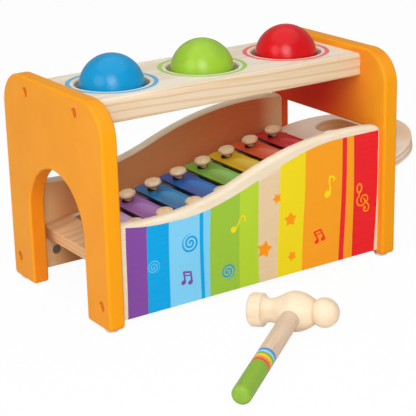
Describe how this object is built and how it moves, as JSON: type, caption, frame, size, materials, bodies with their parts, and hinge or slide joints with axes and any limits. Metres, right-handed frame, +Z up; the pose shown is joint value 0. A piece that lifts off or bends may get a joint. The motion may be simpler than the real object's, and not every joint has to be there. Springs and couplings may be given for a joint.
{
  "type": "ball pounding bench",
  "caption": "Wooden toy bench for pounding balls through holes on to a sloping slide-out xylophone, with an arch they roll out of, wavy side panels and a double-ended mallet",
  "frame": {"origin": "on the floor, under the middle of the outline of the bench, the xylophone's handle and the mallet lying in front", "axes": "+X along the bench from the arch to the xylophone's handle, +Y to the back, +Z up"},
  "size_m": [0.2989, 0.2701, 0.1688],
  "materials": {
    "orange_paint": "satin lacquer",
    "pine": "clear sanded",
    "blue_paint": "satin lacquer",
    "green_paint": "satin lacquer",
    "red_paint": "satin lacquer",
    "pin_wood": "clear sanded",
    "mallet_head_wood": "clear sanded",
    "mallet_handle_wood": "clear sanded",
    "key_violet": "gloss enamel",
    "key_purple": "gloss enamel",
    "key_blue": "gloss enamel",
    "key_navy": "gloss enamel",
    "key_green": "gloss enamel",
    "key_yellow": "gloss enamel",
    "key_orange": "gloss enamel",
    "key_red": "gloss enamel",
    "black_rubber": "matte",
    "black_felt": "felted",
    "bolt_steel": "plated",
    "nut_steel": "dark oxide",
    "cap_plastic": "satin",
    "foot_plastic": "soft, translucent"
  },
  "bodies": {
    "bench": {"left_end_panel": "orange_paint", "right_end_panel": "orange_paint", "top_board": "pine", "front_panel": "pine", "back_panel": "pine", "plank_rail": "pine", "frame_bolts": "bolt_steel", "cross_nuts": "nut_steel", "bolt_caps": "cap_plastic", "foot_pads": "foot_plastic", "ring_blue": "black_rubber", "ring_green": "black_rubber", "ring_red": "black_rubber"},
    "ball_blue": {"ball_blue": "blue_paint"},
    "ball_green": {"ball_green": "green_paint"},
    "ball_red": {"ball_red": "red_paint"},
    "xylophone": {"xylophone_board": "pine", "front_felt": "black_felt", "back_felt": "black_felt", "key_1": "key_violet", "key_2": "key_purple", "key_3": "key_blue", "key_4": "key_navy", "key_5": "key_green", "key_6": "key_yellow", "key_7": "key_orange", "key_8": "key_red", "pins_1": "pin_wood", "pins_2": "pin_wood", "pins_3": "pin_wood", "pins_4": "pin_wood", "pins_5": "pin_wood", "pins_6": "pin_wood", "pins_7": "pin_wood", "pins_8": "pin_wood", "pin_grommets": "black_rubber"},
    "mallet": {"mallet_head": "mallet_head_wood", "mallet_handle": "mallet_handle_wood"}
  },
  "joints": [
    {"name": "ball_blue_drop", "type": "slide", "parent": "bench", "child": "ball_blue", "axis": [0, 0, 1], "range_m": [-0.0731, 0.055], "deforming": ["ring_blue"]},
    {"name": "ball_green_drop", "type": "slide", "parent": "bench", "child": "ball_green", "axis": [0, 0, 1], "range_m": [-0.0619, 0.055], "deforming": ["ring_green"]},
    {"name": "ball_red_drop", "type": "slide", "parent": "bench", "child": "ball_red", "axis": [0, 0, 1], "range_m": [-0.0507, 0.055], "deforming": ["ring_red"]},
    {"name": "xylophone_slide", "type": "slide", "parent": "bench", "child": "xylophone", "axis": [0.9885, 0, 0.1513], "range_m": [0, 0.28]},
    {"name": "mallet_lift", "type": "slide", "parent": "bench", "child": "mallet", "axis": [0, 0, 1], "range_m": [0, 0.2]}
  ]
}
